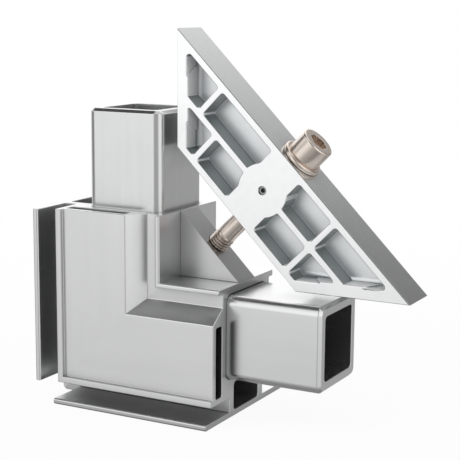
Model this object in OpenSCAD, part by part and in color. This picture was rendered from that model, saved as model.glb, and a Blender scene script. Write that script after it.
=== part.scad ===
// Corner connector: two mitred hollow profiles on square tubes, a tapped block in the inner
// corner, and a gusset plate that a diagonal screw draws towards the block.
// X runs along the base leg, Y to the back and Z up. The origin lies under the middle of the whole.
// In the section of a profile, depth is Y from the middle of the tube, and rise is the distance
// from the profile's outer face, which is Z on the base leg and X on the upright.

/* [Square tubes] */
// Outer width of the square tubes
tube_w = 40; // [34:0.5:46]
// Wall of the square tubes
tube_wall = 5; // [2.5:0.25:6]
// Outer corner radius of the tubes
tube_r = 4.25; // [3.5:0.25:7]
// Inner corner radius of the tubes
tube_inner_r = 2; // [0.5:0.25:4]
// Chamfer round the end of each tube
tube_chamfer = 1.5; // [0.5:0.25:2.25]
// Length of tube that stands out of each profile
tube_over = 47.2; // [20:0.2:80]
// Clearance between a tube and the bore round it, each side
tube_gap = 0.2; // [0.1:0.05:0.4]

/* [Profile section] */
// Distance from the outer face of a profile to its tube
tube_offset = 18.9; // [17.5:0.1:26]
// Front and back wall of the box round the tube
wall = 3.1; // [2.5:0.1:5]
// Wall of the box towards the inner face
inner_wall = 3.8; // [2.5:0.1:6]
// Wall of the box towards the outer flange
outer_wall = 2.4; // [2:0.1:4]
// Thickness of the outer flange
flange_t = 2.8; // [2:0.1:4]
// Reach of the outer flange in front of the box
flange_reach = 15.8; // [12:0.2:30]
// Reach of the outer flange behind the box
flange_tail = 19.1; // [8:0.1:35]
// Radius on the long edges of the outer flange
flange_edge_r = 0.95; // [0.25:0.05:0.95]
// Depth from the middle of the tube to the front of the web
web_front = 16.5; // [14:0.25:19]
// Thickness of the web
web_t = 4.4; // [3:0.2:8]
// Depth from the middle of the tube to the front of the rib
rib_front = 12.7; // [9:0.1:15]
// Thickness of the rib
rib_t = 4.7; // [3:0.1:6]
// Corner radius of the chamber between web and rib
chamber_r = 1.9; // [0.5:0.1:3]
// Rise at which the front leaf begins
leaf_start = 9.6; // [7:0.1:12.5]
// Depth of the front leaf in front of the box
leaf_depth = 9.1; // [7:0.1:13]
// Skin of the front leaf round its slot
leaf_skin = 2.75; // [2:0.05:4]
// Width of the slot, from front to back
slot_w = 5.7; // [4:0.1:6.5]
// Radius at the ends of the slot
slot_r = 1.1; // [0.5:0.1:1.4]
// Width of the raised border along the leaf
border_w = 3; // [2:0.1:6]
// Height of the raised border
border_h = 1.9; // [0.5:0.1:3]
// Width of the ledge from the inner face to the leaf
ledge_w = 15.4; // [12:0.1:21]
// Run of the slanted side of the leaf
slant_run = 6.5; // [4:0.1:9]
// Width of the nose along the inner face
nose_w = 2.55; // [2:0.05:3.5]
// Height of the nose in front of the box
nose_h = 4.25; // [3:0.05:7]
// Radius on the edges of the nose
nose_r = 0.85; // [0.4:0.05:0.95]
// Thickness of the back lip along the inner face
lip_t = 2.9; // [2:0.1:4]
// Length of the back lip behind the box
lip_len = 3.9; // [3:0.1:8]

/* [Corner] */
// Length of a profile along its inner face, which the corner block fills
inner_run = 31.4; // [29:0.1:42]
// Distance from the corner at which the flanges are cut back in front
notch = 10.4; // [8:0.2:16]
// Radius of the outer corner where the profiles meet
corner_r = 2.4; // [1:0.1:2.6]
// Thickness of the corner block
block_t = 16; // [14:0.5:22]
// Length of screw thread held in the block
thread_in = 12.7; // [9:0.1:14]
// Room under the tip of the screw
tip_room = 1.4; // [0.5:0.1:2]
// Clearance round the screw in its thread, each side
thread_gap = 0.1; // [0.05:0.05:0.2]

/* [Gusset plate] */
// Thickness of the gusset plate
plate_t = 22.6; // [21.4:0.2:28]
// Chamfer along the edges of the plate's front and back
plate_chamfer = 0.3; // [0.1:0.05:1.2]
// Width of the plate between its long and short edges
plate_w = 38.5; // [34:0.5:48]
// Distance from the inner corner to the near end of each end face
plate_run = 61.8; // [60:0.1:86]
// Wall between an end face and its pockets
end_wall = 5.1; // [4.6:0.1:6.5]
// Width of the rims along the edges
rim_w = 3.4; // [2.5:0.1:5]
// Width of the ribs
rib_w = 3.2; // [2:0.1:4.6]
// Depth of the pockets on each side
pocket_depth = 9.9; // [6:0.1:10.4]
// Radius in the corners of the pockets
pocket_r = 1.4; // [1:0.1:1.8]
// Radius between an end wall and the pocket floor
floor_r = 2.8; // [1:0.1:4.5]
// Distance from the middle to the cross ribs
cross_rib = 33.7; // [30:0.1:35]
// Distance from the middle to the cross rib that bounds the long pocket
long_rib = 46.7; // [42:0.1:49]
// Width of the solid band round the screw
band_w = 19.8; // [17:0.2:24]
// Diameter of the round boss in the middle
boss_d = 25.1; // [20:0.1:30]
// Diameter of the pads on the end walls
pad_d = 30.2; // [24:0.2:38]
// Height of the pads
pad_h = 0.75; // [0.4:0.05:1.5]
// Thread diameter of the hole in each end face
end_hole_d = 6; // [4:0.5:8]
// Depth of the hole in each end face
end_hole_depth = 4.8; // [3:0.1:5.4]

/* [Screws and washer] */
// Diameter of the tie screw's thread
screw_d = 10; // [8:0.5:10.5]
// Step from the thread down to the smooth shank, each side
shank_step = 0.5; // [0.1:0.05:0.8]
// Length of the tie screw's thread, its tip included
thread_len = 20.4; // [16:0.2:38]
// Diameter of the screw head
head_d = 16; // [14:0.5:19]
// Height of the screw head
head_h = 10; // [7:0.5:13]
// Width across the flats of the socket
socket_af = 8; // [6:0.5:9]
// Depth of the socket
socket_depth = 5; // [3:0.5:6]
// Chamfer on the head and on the tip
screw_chamfer = 0.5; // [0.3:0.1:1.2]
// Clearance round the screw in the plate, each side
bore_gap = 0.5; // [0.2:0.1:1]
// Outer diameter of the washer
washer_d = 20; // [18.5:0.5:22]
// Thickness of the washer
washer_t = 2.4; // [2.2:0.1:4]
// Radius on the rim of the washer, at both faces
washer_r = 0.9; // [0.3:0.1:1]
// Clearance round the screw in the washer, each side
washer_gap = 0.25; // [0.1:0.05:0.5]
// Diameter of the lock screw in the face of the plate
lock_d = 4; // [3:0.5:6]
// Distance from the face of the plate to the lock screw
lock_sink = 0.8; // [0.3:0.1:2]
// Width across the flats of the lock screw's socket
lock_af = 2; // [1.5:0.1:2.2]
// Depth of the lock screw's socket
lock_socket = 2.2; // [1:0.1:3]

/* [Hidden] */
$fn = 64;

root2 = sqrt(2);

// Box of the profile round the tube
bore_half = tube_w / 2 + tube_gap;
box_half = bore_half + wall;
box_low = tube_offset - tube_gap - outer_wall;
box_high = tube_offset + tube_w + tube_gap + inner_wall;

// Front leaf
leaf_front = box_half + leaf_depth;
leaf_end = box_high - ledge_w;
slot_front = -leaf_front + leaf_skin;
slot_start = leaf_start + leaf_skin;
slot_end = leaf_end - leaf_skin + slot_r;

// Lengths along a leg, from the outer corner
leg_len = box_high + inner_run;
tube_end = leg_len + tube_over;
flange_front = box_half + flange_reach;
flange_back = box_half + flange_tail;

// Gusset plate, in its own frame: X along the edges, Y from the short edge to the long one
plate_half = plate_run / root2;
plate_low = root2 * box_high + plate_half;
plate_high = plate_low + plate_w;
plate_tip = box_high + plate_run + root2 * plate_w;
plate_corners = [[-plate_half, 0], [plate_half, 0], [plate_half + plate_w, plate_w],
                 [-plate_half - plate_w, plate_w]];
row_w = (plate_w - 2 * rim_w - rib_w) / 2;
row_low = [rim_w, rim_w + row_w];
row_high = [rim_w + row_w + rib_w, plate_w - rim_w];
web_half = plate_t / 2 - pocket_depth;
pad_place = plate_w / root2 - end_wall;

// Places along the diagonal, from the outer corner
block_face = (leg_len + box_high) / root2;
head_seat = plate_high + washer_t;
screw_tip = block_face - thread_in;
screw_len = head_seat - screw_tip;
shank_d = screw_d - 2 * shank_step;
lock_len = plate_t / 2 - lock_sink - shank_d / 2;

// Middle of the whole, which stands over the origin
mid_x = max(plate_tip, tube_end) / 2;
mid_y = (flange_back - flange_front) / 2;
far = 3 * tube_end;

module place() {
    translate([-mid_x, -mid_y, 0]) children();
}

// A rectangle between two corners, with round corners
module round_rect(x0, x1, y0, y1, r) {
    translate([x0 + r, y0]) square([x1 - x0 - 2 * r, y1 - y0]);
    translate([x0, y0 + r]) square([x1 - x0, y1 - y0 - 2 * r]);
    for (x = [x0 + r, x1 - r], y = [y0 + r, y1 - r]) translate([x, y]) circle(r);
}

function unit(v) = v / norm(v);
function left_normal(a, b) = [-unit(b - a)[1], unit(b - a)[0]];

// The corners of a convex outline, given anticlockwise, moved inwards by r
function inset(points, r) = [
    for (i = [0 : len(points) - 1])
        let (p = points[i],
             n1 = left_normal(points[(i + len(points) - 1) % len(points)], p),
             n2 = left_normal(p, points[(i + 1) % len(points)]))
        p + r * (n1 + n2) / (1 + n1 * n2)
];

// A convex outline with round corners
module round_outline(points, r) {
    inner = inset(points, r);
    polygon(inner);
    for (i = [0 : len(points) - 1]) {
        a = inner[i];
        b = inner[(i + 1) % len(points)];
        out = -r * left_normal(a, b);
        polygon([a, b, b + out, a + out]);
        translate(a) circle(r, $fn = 48);
    }
}

// Stands an outline of depth and rise up as a bar along the base leg
module along_leg(length) {
    rotate([90, 0, 90]) linear_extrude(length) children();
}

// Turns a piece of the base leg into the same piece of the upright
module as_upright() {
    mirror([1, 0, -1]) children();
}

// All that lies on the upright's side of the mitre
module beyond_mitre() {
    rotate([90, 0, 0]) linear_extrude(far, center = true)
        polygon([[-far, -far], [far, far], [-far, far]]);
}

// Puts a piece that is drawn along Z on the diagonal, from the outer corner outwards
module on_diagonal(distance) {
    rotate([0, 45, 0]) translate([0, 0, distance]) children();
}

module leaf_outline() {
    polygon([[-box_half + 1, leaf_start], [-box_half + 1, leaf_end + slant_run],
             [-box_half, leaf_end + slant_run], [-leaf_front, leaf_end],
             [-leaf_front, leaf_start]]);
    translate([-leaf_front - border_h, leaf_start]) square([border_h + 1, border_w]);
    translate([-box_half, leaf_start]) square([box_half - web_front, box_low - leaf_start + 1]);
}

module profile_outline() {
    difference() {
        union() {
            round_rect(-flange_front, flange_back, 0, flange_t, flange_edge_r);
            translate([-web_front, 0]) square([web_front + rib_front + rib_t, box_low + 1]);
            translate([-box_half, box_low]) square([2 * box_half, box_high - box_low]);
            leaf_outline();
            round_rect(-box_half - nose_h, -box_half + 2, box_high - nose_w, box_high, nose_r);
            round_rect(box_half - 2, box_half + lip_len, box_high - lip_t, box_high, nose_r);
        }
        round_rect(-bore_half, bore_half, tube_offset - tube_gap,
                   tube_offset + tube_w + tube_gap, tube_r + tube_gap);
        round_rect(-web_front + web_t, rib_front, flange_t, box_low, chamber_r);
        round_rect(slot_front, slot_front + slot_w, slot_start, slot_end, slot_r);
    }
}

// Rounds the outer corner, along the whole depth
module corner_waste() {
    rotate([90, 0, 0]) linear_extrude(far, center = true) difference() {
        translate([-1, -1]) square(corner_r + 1);
        translate([corner_r, corner_r]) circle(corner_r);
    }
}

module profile_bar() {
    difference() {
        along_leg(leg_len) profile_outline();
        beyond_mitre();
        corner_waste();
        translate([-1, -flange_front - 1, -1])
            cube([notch + 1, flange_front + 1 - web_front, flange_t + 2]);
    }
}

// Narrows to the tube's end by a chamfer, round corners included
module tube_cap() {
    flat = tube_w / 2 - tube_r;
    side = tube_w / 2;
    for (y = [-flat, flat], z = [-flat, flat])
        translate([0, y, z]) rotate([0, 90, 0])
            cylinder(r1 = tube_r, r2 = tube_r - tube_chamfer, h = tube_chamfer);
    for (turn = [0, 90])
        rotate([turn, 0, 0]) rotate([90, 0, 0]) linear_extrude(2 * flat, center = true)
            polygon([[0, -side], [tube_chamfer, -side + tube_chamfer],
                     [tube_chamfer, side - tube_chamfer], [0, side]]);
}

module tube_bar() {
    side = tube_w / 2;
    middle = tube_offset + side;
    bore = side - tube_wall;
    difference() {
        union() {
            along_leg(tube_end - tube_chamfer)
                round_rect(-side, side, middle - side, middle + side, tube_r);
            translate([tube_end - tube_chamfer, 0, middle]) tube_cap();
        }
        translate([-1, 0, 0]) along_leg(tube_end + 2)
            round_rect(-bore, bore, middle - bore, middle + bore, tube_inner_r);
        beyond_mitre();
    }
}

module base_profile() {
    color("#c9cbcc") place() profile_bar();
}

module upright_profile() {
    color("#c9cbcc") place() as_upright() profile_bar();
}

module base_tube() {
    color("#b9bbbd") place() tube_bar();
}

module upright_tube() {
    color("#b9bbbd") place() as_upright() tube_bar();
}

// Fills the inner corner and takes the thread of the tie screw
module corner_block() {
    color("#a9abad") place() difference() {
        rotate([90, 0, 0]) linear_extrude(block_t, center = true)
            polygon([[box_high, box_high], [leg_len, box_high], [box_high, leg_len]]);
        on_diagonal(screw_tip - tip_room)
            cylinder(d = screw_d + 2 * thread_gap, h = thread_in + tip_room + 1);
    }
}

// How far a pocket may reach towards the end of the plate at a given height
function pocket_end(y) = plate_half + y - root2 * end_wall;

module inner_pocket(rib, row) {
    round_outline([[band_w / 2, row[0]], [rib - rib_w / 2, row[0]],
                   [rib - rib_w / 2, row[1]], [band_w / 2, row[1]]], pocket_r);
}

module end_pocket(rib, row) {
    round_outline([[rib + rib_w / 2, row[0]], [pocket_end(row[0]), row[0]],
                   [pocket_end(row[1]), row[1]], [rib + rib_w / 2, row[1]]], pocket_r);
}

// Outlines of the pockets on one half of the plate
module half_pockets(low_rib, high_rib) {
    inner_pocket(low_rib, row_low);
    end_pocket(low_rib, row_low);
    inner_pocket(high_rib, row_high);
    end_pocket(high_rib, row_high);
}

// Starts at the near end of an end face, with X along the face and Y into the plate
module at_end_face() {
    for (side = [0, 1])
        mirror([side, 0, 0]) translate([plate_half, 0, 0]) rotate([0, 0, 45]) children();
}

// What the end walls keep of the pockets: a pad, and the round between wall and floor
module end_wall_keep() {
    at_end_face() {
        translate([pad_place, 0, 0]) rotate([-90, 0, 0])
            cylinder(d = pad_d, h = end_wall + pad_h, $fn = 96);
        rotate([90, 0, 90]) linear_extrude(root2 * plate_w) difference() {
            translate([1, web_half - 1]) square([end_wall + floor_r - 1, floor_r + 1]);
            translate([end_wall + floor_r, web_half + floor_r]) circle(floor_r);
        }
    }
}

module pocket_space() {
    difference() {
        translate([0, 0, web_half]) linear_extrude(pocket_depth + 1) difference() {
            union() {
                half_pockets(cross_rib, cross_rib);
                mirror([1, 0]) half_pockets(cross_rib, long_rib);
            }
            translate([0, plate_w / 2]) circle(d = boss_d, $fn = 96);
        }
        end_wall_keep();
    }
}

// Cuts the edges round the front face, with X along each edge and Y into the plate
module edge_chamfers() {
    for (i = [0 : 3]) {
        a = plate_corners[i];
        b = plate_corners[(i + 1) % 4];
        translate([a[0], a[1], plate_t / 2]) rotate([0, 0, atan2(b[1] - a[1], b[0] - a[0])])
            translate([-1, 0, 0]) rotate([90, 0, 90]) linear_extrude(norm(b - a) + 2)
            polygon([[-1, -plate_chamfer - 1], [plate_chamfer + 1, 1], [-1, 1]]);
    }
}

// The plate is drawn lying down, its front face up, then stood up across the corner
module gusset_plate() {
    color("#e6e8ea") place() on_diagonal(plate_low) rotate([90, 0, 0]) difference() {
        linear_extrude(plate_t, center = true) polygon(plate_corners);
        for (side = [0, 1]) mirror([0, 0, side]) {
            pocket_space();
            edge_chamfers();
        }
        translate([0, -1, 0]) rotate([-90, 0, 0])
            cylinder(d = screw_d + 2 * bore_gap, h = plate_w + 2);
        translate([0, plate_w / 2, 0]) cylinder(d = lock_d + 2 * thread_gap, h = plate_t);
        at_end_face() translate([pad_place, -1, 0]) rotate([-90, 0, 0])
            cylinder(d = end_hole_d, h = end_hole_depth + 1);
    }
}

// Thread with a chamfered tip, a smooth shank, and a head with a hexagon socket
module tie_screw() {
    thread_r = screw_d / 2;
    shank_r = shank_d / 2;
    head_r = head_d / 2;
    head_top = screw_len + head_h;
    color("#c8b8ac") place() on_diagonal(screw_tip) difference() {
        rotate_extrude()
            polygon([[0, 0], [thread_r - screw_chamfer, 0], [thread_r, screw_chamfer],
                     [thread_r, thread_len - shank_step], [shank_r, thread_len],
                     [shank_r, screw_len],
                     [head_r, screw_len], [head_r, head_top - screw_chamfer],
                     [head_r - screw_chamfer, head_top], [0, head_top]]);
        translate([0, 0, head_top - socket_depth]) rotate([0, 0, 30])
            cylinder(d = socket_af / cos(30), h = socket_depth + 1, $fn = 6);
    }
}

module washer() {
    rim = washer_d / 2;
    color("#c8b8ac") place() on_diagonal(plate_high) difference() {
        rotate_extrude() {
            square([rim - washer_r, washer_t]);
            translate([0, washer_r]) square([rim, washer_t - 2 * washer_r]);
            for (y = [washer_r, washer_t - washer_r]) translate([rim - washer_r, y]) circle(washer_r);
        }
        translate([0, 0, -1]) cylinder(d = screw_d + 2 * washer_gap, h = washer_t + 2);
    }
}

// Bears on the shank of the tie screw, out of sight in the face of the plate
module lock_screw() {
    color("#77797a") place() on_diagonal(plate_low + plate_w / 2) rotate([90, 0, 0])
        translate([0, 0, shank_d / 2]) difference() {
            cylinder(d = lock_d, h = lock_len);
            translate([0, 0, lock_len - lock_socket])
                cylinder(d = lock_af / cos(30), h = lock_socket + 1, $fn = 6);
        }
}

base_profile();
upright_profile();
base_tube();
upright_tube();
corner_block();
gusset_plate();
tie_screw();
washer();
lock_screw();
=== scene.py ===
"""Looks of a frame corner connector: two mitred hollow profiles on square tubes, a tapped block
in the inner corner, and a pocketed gusset plate that a diagonal socket screw holds.

Each CAD node is replaced by a copy with softened edges, and the tie screw gets its thread.
Lengths are in metres, in the row's frame: X along the base leg, Y to the back, Z up.
"""

import math

import bmesh
import bpy
from mathutils import Matrix, Vector


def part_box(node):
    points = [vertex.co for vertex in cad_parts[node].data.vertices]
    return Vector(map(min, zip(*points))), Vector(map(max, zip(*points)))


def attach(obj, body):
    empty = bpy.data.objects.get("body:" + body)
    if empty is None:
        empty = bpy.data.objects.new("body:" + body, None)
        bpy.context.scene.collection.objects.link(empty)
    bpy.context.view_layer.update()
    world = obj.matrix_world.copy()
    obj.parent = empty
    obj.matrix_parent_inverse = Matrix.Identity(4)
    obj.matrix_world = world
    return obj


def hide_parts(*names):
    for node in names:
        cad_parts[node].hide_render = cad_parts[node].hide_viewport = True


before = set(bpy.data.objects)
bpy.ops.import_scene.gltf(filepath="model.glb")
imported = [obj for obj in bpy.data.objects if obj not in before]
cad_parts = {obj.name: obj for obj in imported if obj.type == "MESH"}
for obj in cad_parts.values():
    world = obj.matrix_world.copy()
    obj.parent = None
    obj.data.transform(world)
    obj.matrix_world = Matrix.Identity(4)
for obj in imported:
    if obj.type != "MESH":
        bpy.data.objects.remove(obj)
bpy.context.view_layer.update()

MM = 0.001


# Places that the frame gives


def corner_origin():
    """The outer corner, where the outer faces of both legs and the tubes' middle plane meet."""
    low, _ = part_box("upright_profile")
    tube_low, tube_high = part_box("base_tube")
    return Vector((low.x, (tube_low.y + tube_high.y) / 2, 0))


CORNER = corner_origin()
DIAGONAL = Vector((1, 0, 1)).normalized()


# Camera, solved from the part's right angles in the photograph

CAMERA_PLACE = Vector((361.92, -515.45, 189.48)) * MM
CAMERA_AZIMUTH = math.radians(28.239)
CAMERA_ELEVATION = math.radians(10.055)
CAMERA_ROLL = math.radians(0.429)
CAMERA_LENS = 99.2
CAMERA_SENSOR = 36.0
CLIP_START = 0.01
CLIP_END = 20


def make_camera():
    sin_a, cos_a = math.sin(CAMERA_AZIMUTH), math.cos(CAMERA_AZIMUTH)
    sin_e, cos_e = math.sin(CAMERA_ELEVATION), math.cos(CAMERA_ELEVATION)
    forward = Vector((-sin_a * cos_e, cos_a * cos_e, -sin_e))
    level = Vector((cos_a, sin_a, 0))
    upright = level.cross(forward)
    right = level * math.cos(CAMERA_ROLL) + upright * math.sin(CAMERA_ROLL)
    up = upright * math.cos(CAMERA_ROLL) - level * math.sin(CAMERA_ROLL)
    data = bpy.data.cameras.new("camera")
    data.lens = CAMERA_LENS
    data.sensor_width = CAMERA_SENSOR
    data.clip_start = CLIP_START
    data.clip_end = CLIP_END
    camera = bpy.data.objects.new("camera", data)
    turn = Matrix((right, up, -forward)).transposed().to_4x4()
    camera.matrix_world = Matrix.Translation(CORNER + CAMERA_PLACE) @ turn
    bpy.context.scene.collection.objects.link(camera)
    bpy.context.scene.camera = camera


make_camera()


# Materials


class Nodes:
    """A short way to write a node tree."""

    def __init__(self, tree):
        self.tree = tree

    def add(self, kind):
        return self.tree.nodes.new(kind)

    def link(self, source, target):
        """Feeds a socket from another socket, or sets it to a plain value."""
        if isinstance(source, bpy.types.NodeSocket):
            self.tree.links.new(source, target)
        else:
            target.default_value = source

    def math(self, operation, *values):
        node = self.add("ShaderNodeMath")
        node.operation = operation
        for value, socket in zip(values, node.inputs):
            self.link(value, socket)
        return node.outputs["Value"]

    def ramp(self, source, low, high, start, end, kind="LINEAR"):
        """source mapped from start..end to low..high."""
        node = self.add("ShaderNodeMapRange")
        node.interpolation_type = kind
        self.link(source, node.inputs["Value"])
        self.link(start, node.inputs["From Min"])
        self.link(end, node.inputs["From Max"])
        self.link(low, node.inputs["To Min"])
        self.link(high, node.inputs["To Max"])
        return node.outputs["Result"]

    def blend(self, share, a, b, kind="FLOAT"):
        """a where share is 0, and b where it is 1."""
        node = self.add("ShaderNodeMix")
        node.data_type = kind
        self.link(share, node.inputs["Factor"])
        self.link(a, node.inputs["A"])
        self.link(b, node.inputs["B"])
        return node.outputs["Result"]

    def noise(self, place, scale, detail):
        """Noise whose scale is in cycles a metre along each axis."""
        spread = self.add("ShaderNodeMapping")
        self.link(place, spread.inputs["Vector"])
        self.link(scale, spread.inputs["Scale"])
        made = self.add("ShaderNodeTexNoise")
        self.link(spread.outputs["Vector"], made.inputs["Vector"])
        self.link(1, made.inputs["Scale"])
        self.link(detail, made.inputs["Detail"])
        return made.outputs["Fac"]


# Painted shade: how far a surface feels for others near it, which darken its colour
SHADE_REACH = 12 * MM
THREAD_SHADE_REACH = 1.5 * MM
OPEN_SAMPLES = 12
# A surface that is open to this share of its surroundings keeps its full colour, with no painted
# shade
FULLY_OPEN = 0.95

# Streaks vary the colour by a share of it, and clouds vary the roughness
STREAK_DETAIL = 1
STREAK_CONTRAST = 0.03
CLOUD_SCALE = (45, 45, 45)
CLOUD_DETAIL = 2
CLOUD_CONTRAST = 0.04


def metal(name, color, streaks, roughness, hollow_shade, metallic=1, reach=SHADE_REACH):
    """Bare or anodised metal with fine marks along the axis where streaks is small.

    Shade is painted into the colour deep in corners, hollows and gaps, where only the given share
    of it is left.
    """
    material = bpy.data.materials.new(name)
    material.use_nodes = True
    nodes = Nodes(material.node_tree)
    shader = material.node_tree.nodes["Principled BSDF"]
    shader.inputs["Metallic"].default_value = metallic
    place = nodes.add("ShaderNodeTexCoord").outputs["Object"]
    dark = (c * (1 - STREAK_CONTRAST) for c in color)
    light = (min(1, c * (1 + STREAK_CONTRAST)) for c in color)
    marks = nodes.noise(place, streaks, STREAK_DETAIL)
    shade = nodes.blend(marks, (*dark, 1), (*light, 1), "RGBA")
    # Painted shade: ambient occlusion darkens the colour in corners, hollows and gaps between
    # parts
    open_share = nodes.add("ShaderNodeAmbientOcclusion")
    open_share.samples = OPEN_SAMPLES
    open_share.inputs["Distance"].default_value = reach
    share = nodes.ramp(open_share.outputs["AO"], hollow_shade, 1, 0, FULLY_OPEN)
    shaded_color = nodes.add("ShaderNodeVectorMath")
    shaded_color.operation = "SCALE"
    nodes.link(shade, shaded_color.inputs["Vector"])
    nodes.link(share, shaded_color.inputs["Scale"])
    nodes.link(shaded_color.outputs["Vector"], shader.inputs["Base Color"])
    clouds = nodes.noise(place, CLOUD_SCALE, CLOUD_DETAIL)
    rough = nodes.ramp(clouds, roughness - CLOUD_CONTRAST, roughness + CLOUD_CONTRAST, 0, 1)
    nodes.link(rough, shader.inputs["Roughness"])
    return material


# Marks in cycles a metre, along the extrusion and across it
ALONG = 8
ACROSS = 280
LEG_X = (ALONG, ACROSS, ACROSS)
LEG_Z = (ACROSS, ACROSS, ALONG)
EVEN = (ACROSS, ACROSS, ACROSS)

PROFILE_COLOR = (0.83, 0.833, 0.835)
TUBE_COLOR = (0.785, 0.788, 0.79)
# The block's metal, darkened to stand for the shade deep in the inner corner: painted shade
BLOCK_SHADED_COLOR = (0.66, 0.663, 0.665)
PLATE_COLOR = (0.965, 0.975, 0.98)
# Painted shade: the pocket walls are the plate's own metal, made much darker to stand for the
# shade inside the pockets
POCKET_WALL_SHADED_COLOR = (0.54, 0.575, 0.58)
POCKET_FLOOR_COLOR = (0.92, 0.95, 0.96)
# Painted highlight: the pads' faces are near-white and hardly metal, so they show bright as if
# they mirrored a light
PAD_HIGHLIGHT_COLOR = (0.93, 0.94, 0.94)
SCREW_COLOR = (0.83, 0.735, 0.66)
LOCK_COLOR = (0.42, 0.42, 0.42)

# Each node's finishes, in the order of the faces' material indices
# The hollow share of each finish is the colour left where shade is painted into corners, hollows
# and gaps
FINISHES = {
    "base_profile": [metal("profile_x", PROFILE_COLOR, LEG_X, roughness=0.30, hollow_shade=0.25)],
    "upright_profile": [metal("profile_z", PROFILE_COLOR, LEG_Z, roughness=0.30, hollow_shade=0.6)],
    "base_tube": [metal("tube_x", TUBE_COLOR, LEG_X, roughness=0.24, hollow_shade=0.75)],
    "upright_tube": [metal("tube_z", TUBE_COLOR, LEG_Z, roughness=0.24, hollow_shade=0.75)],
    "corner_block": [metal("block", BLOCK_SHADED_COLOR, EVEN, roughness=0.30, hollow_shade=0.65)],
    "gusset_plate": [
        metal("plate", PLATE_COLOR, EVEN, roughness=0.16, hollow_shade=0.45),
        metal("pocket_wall", POCKET_WALL_SHADED_COLOR, EVEN, roughness=0.34, hollow_shade=0.75),
        metal("pocket_floor", POCKET_FLOOR_COLOR, EVEN, roughness=0.36, hollow_shade=0.8),
        # Painted highlight on the pads: near-white and almost not metal
        metal("pad", PAD_HIGHLIGHT_COLOR, EVEN, roughness=0.40, hollow_shade=1, metallic=0.05),
    ],
    "tie_screw": [
        metal("screw", SCREW_COLOR, EVEN, roughness=0.25, hollow_shade=1),
        # The thread's finish paints strong shade into its roots, over a short reach
        metal("thread", SCREW_COLOR, EVEN, roughness=0.24, hollow_shade=0.1, reach=THREAD_SHADE_REACH),
    ],
    "washer": [metal("washer", SCREW_COLOR, EVEN, roughness=0.24, hollow_shade=0.95)],
    "lock_screw": [metal("lock", LOCK_COLOR, EVEN, roughness=0.30, hollow_shade=0.5)],
}
# Places in those lists
POCKET_WALL = 1
POCKET_FLOOR = 2
PAD = 3
THREAD = 1


# Pieces

# Edges that turn by SHARP or more are rounded, and those that turn by less than FLAT go
SHARP = math.radians(28)
FLAT = math.radians(0.6)
# Points this close together are one, and points this close to a plane or radius lie on it
WELD = 0.001 * MM
NEAR = 0.01 * MM
# Greatest Y part in the normal of a wall that stands square to the plate's face
SQUARE_WALL = 0.1

PROFILE_ROUND = 0.36 * MM
TUBE_ROUND = 0.3 * MM
TUBE_END_ROUND = 0.25 * MM
BLOCK_ROUND = 0.25 * MM
PLATE_ROUND = 0.05 * MM
POCKET_RIM_ROUND = 0.45 * MM
POCKET_FLOOR_ROUND = 0.4 * MM
SCREW_ROUND = 0.22 * MM
WASHER_ROUND = 0.2 * MM
LOCK_ROUND = 0.1 * MM
# The width that an edge's weight of 1 stands for
WIDEST_ROUND = 0.8 * MM
ROUND_STEPS = 3
# Share of the larger faces in the normals at an edge, where 50 is even
FACE_WEIGHT = 100

# The edges of a tube's chamfer turn by less than this
CHAMFER_TURN = math.radians(60)
MITRED = ("base_profile", "upright_profile", "base_tube", "upright_tube")

PLATE_LOW, PLATE_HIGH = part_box("gusset_plate")
PLATE_MIDDLE = (PLATE_LOW.y + PLATE_HIGH.y) / 2
PLATE_HALF = (PLATE_HIGH.y - PLATE_LOW.y) / 2
LOCK_LOW, LOCK_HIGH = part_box("lock_screw")
LOCK_PLACE = (LOCK_LOW + LOCK_HIGH) / 2
LOCK_REACH = LOCK_HIGH.x - LOCK_LOW.x
# Faces of pockets and bores reach at least this deep, and lie this far inside the outline
LEAST_POCKET = 1.5 * MM
EDGE_BAND = 0.5 * MM
# Least X or Z part in the normal of an end wall's inner face
END_WALL_SLOPE = 0.95
# Greatest Y part in the normal of a pocket's wall, above which it is floor
FLOOR_SLOPE = 0.3


def along_screw(point):
    """How far a point lies from the outer corner along the diagonal."""
    return (point - CORNER).dot(DIAGONAL)


def on_mitre(point):
    """Whether a point lies in the plane where the legs meet."""
    local = point - CORNER
    return abs(local.x - local.z) < NEAR


def mitred_edge(edge):
    """Rounds the profiles' edges, apart from the joint line on the mitre."""
    return 0 if all(on_mitre(v.co) for v in edge.verts) else PROFILE_ROUND


def tube_edge(edge):
    """Rounds a tube's chamfer a little less than its other edges, and its mitre not at all."""
    if all(on_mitre(v.co) for v in edge.verts):
        return 0
    return TUBE_END_ROUND if edge.calc_face_angle() < CHAMFER_TURN else TUBE_ROUND


def plate_edge(edge):
    """Wide rounds on the rims and floors of the pockets, and narrow ones elsewhere."""
    if not any(abs(f.normal.y) < SQUARE_WALL for f in edge.link_faces):
        return PLATE_ROUND
    flat = all(abs(abs(v.co.y - PLATE_MIDDLE) - PLATE_HALF) < NEAR for v in edge.verts)
    if not flat:
        return PLATE_ROUND if edge.is_convex else POCKET_FLOOR_ROUND
    middle = (edge.verts[0].co + edge.verts[1].co) / 2
    by_lock = math.hypot(middle.x - LOCK_PLACE.x, middle.z - LOCK_PLACE.z) < LOCK_REACH
    return PLATE_ROUND if by_lock else POCKET_RIM_ROUND


def plate_parts(shape):
    """Gives the pockets' walls, floors and pads finishes of their own, with painted shade on the
    walls and a painted highlight on the pads.
    """
    reach = [along_screw(v.co) for v in shape.verts]
    for face in shape.faces:
        place = face.calc_center_median()
        out = along_screw(place)
        gaps = (out - min(reach), max(reach) - out, place.x - PLATE_LOW.x, place.z - PLATE_LOW.z)
        depth = PLATE_HALF - min(abs(v.co.y - PLATE_MIDDLE) for v in face.verts)
        if depth < LEAST_POCKET or min(gaps) < EDGE_BAND:
            continue
        if max(face.normal.x, face.normal.z) > END_WALL_SLOPE:
            face.material_index = PAD
        elif abs(face.normal.y) < FLOOR_SLOPE:
            face.material_index = POCKET_WALL
        else:
            face.material_index = POCKET_FLOOR


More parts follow.
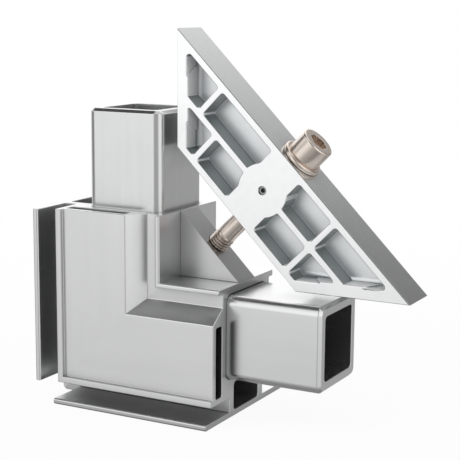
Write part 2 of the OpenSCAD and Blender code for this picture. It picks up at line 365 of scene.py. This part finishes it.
def dressed(node, edge_round, parts=None, cut=None):
    """Makes a copy of a CAD node with its edges rounded, which stands for the node."""
    shape = bmesh.new()
    shape.from_mesh(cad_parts[node].data)
    bmesh.ops.remove_doubles(shape, verts=shape.verts, dist=WELD)
    bmesh.ops.dissolve_limit(shape, angle_limit=FLAT, verts=shape.verts, edges=shape.edges)
    if cut:
        cut(shape)
    shape.normal_update()
    weight = shape.edges.layers.float.new("bevel_weight_edge")
    for edge in shape.edges:
        if edge.is_manifold and edge.calc_face_angle() >= SHARP:
            wanted = edge_round(edge)
            edge[weight] = wanted / WIDEST_ROUND
            edge.smooth = wanted > 0
    for face in shape.faces:
        face.smooth = True
        face.material_index = 0
    if parts:
        parts(shape)
    mesh = bpy.data.meshes.new(node + "_dressed")
    shape.to_mesh(mesh)
    shape.free()
    piece = bpy.data.objects.new(node + "_dressed", mesh)
    bpy.context.scene.collection.objects.link(piece)
    soften = piece.modifiers.new("edges", "BEVEL")
    soften.limit_method = "WEIGHT"
    soften.width = WIDEST_ROUND
    soften.segments = ROUND_STEPS
    soften.use_clamp_overlap = False
    soften.miter_outer = "MITER_ARC"
    soften.loop_slide = False
    if node in MITRED:
        keep_mitre_sharp(piece)
    normals = piece.modifiers.new("normals", "WEIGHTED_NORMAL")
    normals.keep_sharp = True
    normals.weight = FACE_WEIGHT
    place_piece(piece, node)


def keep_mitre_sharp(piece):
    """Makes the rounds part of the mesh, and every edge in the mitre's plane sharp."""
    rounded = piece.evaluated_get(bpy.context.evaluated_depsgraph_get())
    mesh = bpy.data.meshes.new_from_object(rounded)
    piece.modifiers.clear()
    piece.data = mesh
    for edge in mesh.edges:
        if all(on_mitre(mesh.vertices[i].co) for i in edge.vertices):
            edge.use_edge_sharp = True


def place_piece(piece, node):
    """Gives a piece its finish and its body, and hides the node that it stands for."""
    for material in FINISHES[node]:
        piece.data.materials.append(material)
    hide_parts(node)
    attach(piece, "root")


# The tie screw's thread, on the diagonal from the outer corner

THREAD_R = 5 * MM
THREAD_PITCH = 1.5 * MM
THREAD_DEPTH = 0.92 * MM
# Half widths of the flat crest, and of all that stands above the root, in pitches
CREST = 1 / 16
ROOT = 3 / 8
ROWS_A_TURN = 12
SIDES = 48
# Length over which the thread fades into the shank
RUN_OUT = 1.5 * THREAD_PITCH
# How far the helix runs on inside the shank, and how far it lies below its surface
OVERLAP = 0.5 * MM
INSIDE = 0.02 * MM


def off_screw(point):
    """How far a point lies from the tie screw's axis."""
    local = point - CORNER
    return (local - DIAGONAL * local.dot(DIAGONAL)).length


def screw_places():
    """Where the thread starts and ends along the diagonal, and the shank's radius."""
    points = [v.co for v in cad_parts["tie_screw"].data.vertices]
    tip = min(along_screw(p) for p in points)
    crests = [along_screw(p) for p in points if abs(off_screw(p) - THREAD_R) < NEAR]
    shank = min((p for p in points if along_screw(p) > max(crests) + NEAR), key=along_screw)
    return tip, along_screw(shank), off_screw(shank)


SCREW_TIP, SHANK_START, SHANK_R = screw_places()


def thread_radius(along, turn):
    """The thread's radius at a place along the screw and at a turn, in whole turns."""
    phase = (along / THREAD_PITCH - turn) % 1
    depth = min(1, max(0, (min(phase, 1 - phase) - CREST) / (ROOT - CREST)))
    radius = THREAD_R - THREAD_DEPTH * depth
    fade = min(1, max(0, (along - (SHANK_START - RUN_OUT)) / RUN_OUT))
    radius += (SHANK_R - INSIDE - radius) * fade
    return min(radius, THREAD_R - THREAD_DEPTH + along - SCREW_TIP)


def add_thread(shape):
    """Swaps the smooth stand-in of the thread for a true helix."""
    geometry = list(shape.verts) + list(shape.edges) + list(shape.faces)
    bmesh.ops.bisect_plane(shape, geom=geometry, dist=WELD, clear_inner=True,
                           plane_co=CORNER + DIAGONAL * (SHANK_START + INSIDE), plane_no=DIAGONAL)
    open_edges = [e for e in shape.edges if e.is_boundary]
    bmesh.ops.holes_fill(shape, edges=open_edges, sides=0)
    side = Vector((0, 1, 0))
    other = DIAGONAL.cross(side)
    length = SHANK_START + OVERLAP - SCREW_TIP
    steps = round(length / THREAD_PITCH * ROWS_A_TURN)
    rows = []
    for i in range(steps + 1):
        along = SCREW_TIP + length * i / steps
        row = []
        for k in range(SIDES):
            angle = math.tau * k / SIDES
            radius = thread_radius(along, k / SIDES)
            out = side * math.cos(angle) + other * math.sin(angle)
            row.append(shape.verts.new(CORNER + DIAGONAL * along + out * radius))
        rows.append(row)
    for low, high in zip(rows, rows[1:]):
        for k in range(SIDES):
            after = (k + 1) % SIDES
            shape.faces.new((low[k], low[after], high[after], high[k]))
    shape.faces.new(reversed(rows[0]))
    shape.faces.new(rows[-1])
    bmesh.ops.recalc_face_normals(shape, faces=shape.faces)


def screw_parts(shape):
    """Gives the thread its own finish, with shade painted into its roots."""
    for face in shape.faces:
        if along_screw(face.calc_center_median()) < SHANK_START:
            face.material_index = THREAD


def screw_edge(edge):
    """Rounds the head and the shank, and leaves the thread's own edges as they are."""
    middle = (edge.verts[0].co + edge.verts[1].co) / 2
    return SCREW_ROUND if along_screw(middle) > SHANK_START + OVERLAP + NEAR else 0


dressed("base_profile", mitred_edge)
dressed("upright_profile", mitred_edge)
dressed("base_tube", tube_edge)
dressed("upright_tube", tube_edge)
dressed("corner_block", lambda edge: BLOCK_ROUND)
dressed("gusset_plate", plate_edge, parts=plate_parts)
dressed("tie_screw", screw_edge, parts=screw_parts, cut=add_thread)
dressed("washer", lambda edge: WASHER_ROUND)
dressed("lock_screw", lambda edge: LOCK_ROUND)


# Studio

# Tones of the room that the metal mirrors, where 0 is black and 1 is the backdrop's white. A
# later zone covers the ones before it. Each span is its low end, its high end and their blur, in
# degrees. Azimuths run from the back towards +X, and elevations from the horizon up.
ALL_ROUND = (-400, 200, 5)
ZONES = [
    {"tone": 1.12, "azimuth": (-300, -136, 4), "elevation": (-90, 34, 7)},
    {"tone": 0.40, "azimuth": (-232, -173, 5), "elevation": (-90, 40, 7)},
    {"tone": 0.18, "azimuth": (-136, -87, 4), "elevation": (-90, 14, 8)},
    {"tone": 0.70, "azimuth": ALL_ROUND, "elevation": (72, 120, 8)},
    {"tone": 0.04, "azimuth": (-136, -57, 5), "elevation": (36, 77, 6)},
    {"tone": 0.12, "azimuth": (-262, -172, 5), "elevation": (38, 64, 7)},
    {"tone": 0.37, "azimuth": (3, 61, 6), "elevation": (-90, 3, 8)},
    {"tone": 0.16, "azimuth": (3, 61, 13), "elevation": (3, 42, 8)},
    {"tone": 0.45, "azimuth": ALL_ROUND, "elevation": (-90, -14, 20)},
    {"tone": 0.27, "azimuth": ALL_ROUND, "elevation": (-90, -42, 12)},
    {"tone": 1.20, "azimuth": (-57, -10, 6), "elevation": (-6, 70, 6)},
]
# The tone outside all zones
ROOM_TONE = 1.0
# Azimuths are counted from here, for one whole turn
AZIMUTH_START = -270
# Light of the room on what doesn't mirror it
DIFFUSE_LEVEL = 0.8
BACKDROP_LEVEL = 1.0


def window(nodes, value, low, high, blur):
    """1 between low and high, with soft ends, and 0 outside."""
    rise = nodes.ramp(value, 0, 1, low - blur, low + blur, "SMOOTHSTEP")
    fall = nodes.ramp(value, 1, 0, high - blur, high + blur, "SMOOTHSTEP")
    return nodes.math("MULTIPLY", rise, fall)


def surroundings(nodes):
    """The tone of the room in the direction that a ray takes."""
    direction = nodes.add("ShaderNodeSeparateXYZ")
    nodes.link(nodes.add("ShaderNodeTexCoord").outputs["Generated"], direction.inputs[0])
    x, y, z = (direction.outputs[axis] for axis in "XYZ")
    turn = nodes.math("DEGREES", nodes.math("ARCTAN2", x, y))
    azimuth = nodes.math("WRAP", turn, AZIMUTH_START + 360, AZIMUTH_START)
    elevation = nodes.math("DEGREES", nodes.math("ARCSINE", z))
    level = ROOM_TONE
    for zone in ZONES:
        inside = nodes.math("MULTIPLY", window(nodes, azimuth, *zone["azimuth"]),
                            window(nodes, elevation, *zone["elevation"]))
        level = nodes.blend(inside, level, zone["tone"])
    return level


def make_world():
    """White to the camera, toned to reflections and even to the floor's shading."""
    world = bpy.data.worlds.new("studio")
    world.use_nodes = True
    bpy.context.scene.world = world
    nodes = Nodes(world.node_tree)
    path = nodes.add("ShaderNodeLightPath")
    strength = nodes.blend(path.outputs["Is Glossy Ray"], DIFFUSE_LEVEL, surroundings(nodes))
    strength = nodes.blend(path.outputs["Is Camera Ray"], strength, BACKDROP_LEVEL)
    back = world.node_tree.nodes["Background"]
    back.inputs["Color"].default_value = (1, 1, 1, 1)
    nodes.link(strength, back.inputs["Strength"])


FLOOR_RADIUS = 0.6
FLOOR_SIDES = 96
FLOOR_TONE = 0.9
# The share of plain white in the floor near the part, which grows to 1 between these radii
WHITE_NEAR = 0.93
FADE_START = 0.16
FADE_END = 0.95 * FLOOR_RADIUS


def make_floor():
    """A round pale floor that fades into the white of the backdrop at its rim."""
    mesh = bpy.data.meshes.new("floor")
    shape = bmesh.new()
    bmesh.ops.create_circle(shape, cap_ends=True, segments=FLOOR_SIDES, radius=FLOOR_RADIUS)
    shape.to_mesh(mesh)
    shape.free()
    floor = bpy.data.objects.new("floor", mesh)
    floor.visible_glossy = False
    bpy.context.scene.collection.objects.link(floor)
    material = bpy.data.materials.new("floor")
    material.use_nodes = True
    nodes = Nodes(material.node_tree)
    tree = material.node_tree
    tree.nodes.remove(tree.nodes["Principled BSDF"])
    matt = nodes.add("ShaderNodeBsdfDiffuse")
    matt.inputs["Color"].default_value = (FLOOR_TONE, FLOOR_TONE, FLOOR_TONE, 1)
    bright = nodes.add("ShaderNodeEmission")
    distance = nodes.add("ShaderNodeVectorMath")
    distance.operation = "LENGTH"
    nodes.link(nodes.add("ShaderNodeTexCoord").outputs["Object"], distance.inputs[0])
    fade = nodes.ramp(distance.outputs["Value"], WHITE_NEAR, 1, FADE_START, FADE_END)
    seen = nodes.add("ShaderNodeLightPath").outputs["Is Camera Ray"]
    mix = nodes.add("ShaderNodeMixShader")
    nodes.link(nodes.math("MULTIPLY", fade, seen), mix.inputs["Fac"])
    nodes.link(matt.outputs["BSDF"], mix.inputs[1])
    nodes.link(bright.outputs["Emission"], mix.inputs[2])
    nodes.link(mix.outputs["Shader"], tree.nodes["Material Output"].inputs["Surface"])
    mesh.materials.append(material)


KEY_PLACE = Vector((-0.55, -0.75, 0.9))
KEY_TARGET = Vector((0, 0, 0.08))
KEY_WIDTH = 0.5
KEY_POWER = 3


def make_key_light():
    """A soft light from the front left, which the metal doesn't mirror."""
    data = bpy.data.lights.new("key", "AREA")
    data.shape = "SQUARE"
    data.size = KEY_WIDTH
    data.energy = KEY_POWER
    lamp = bpy.data.objects.new("key", data)
    lamp.rotation_mode = "QUATERNION"
    lamp.location = KEY_PLACE
    lamp.rotation_quaternion = (KEY_TARGET - KEY_PLACE).to_track_quat("-Z", "Y")
    lamp.visible_glossy = False
    bpy.context.scene.collection.objects.link(lamp)


make_world()
make_floor()
make_key_light()

bpy.context.scene.view_settings.view_transform = "Standard"

bpy.context.view_layer.update()
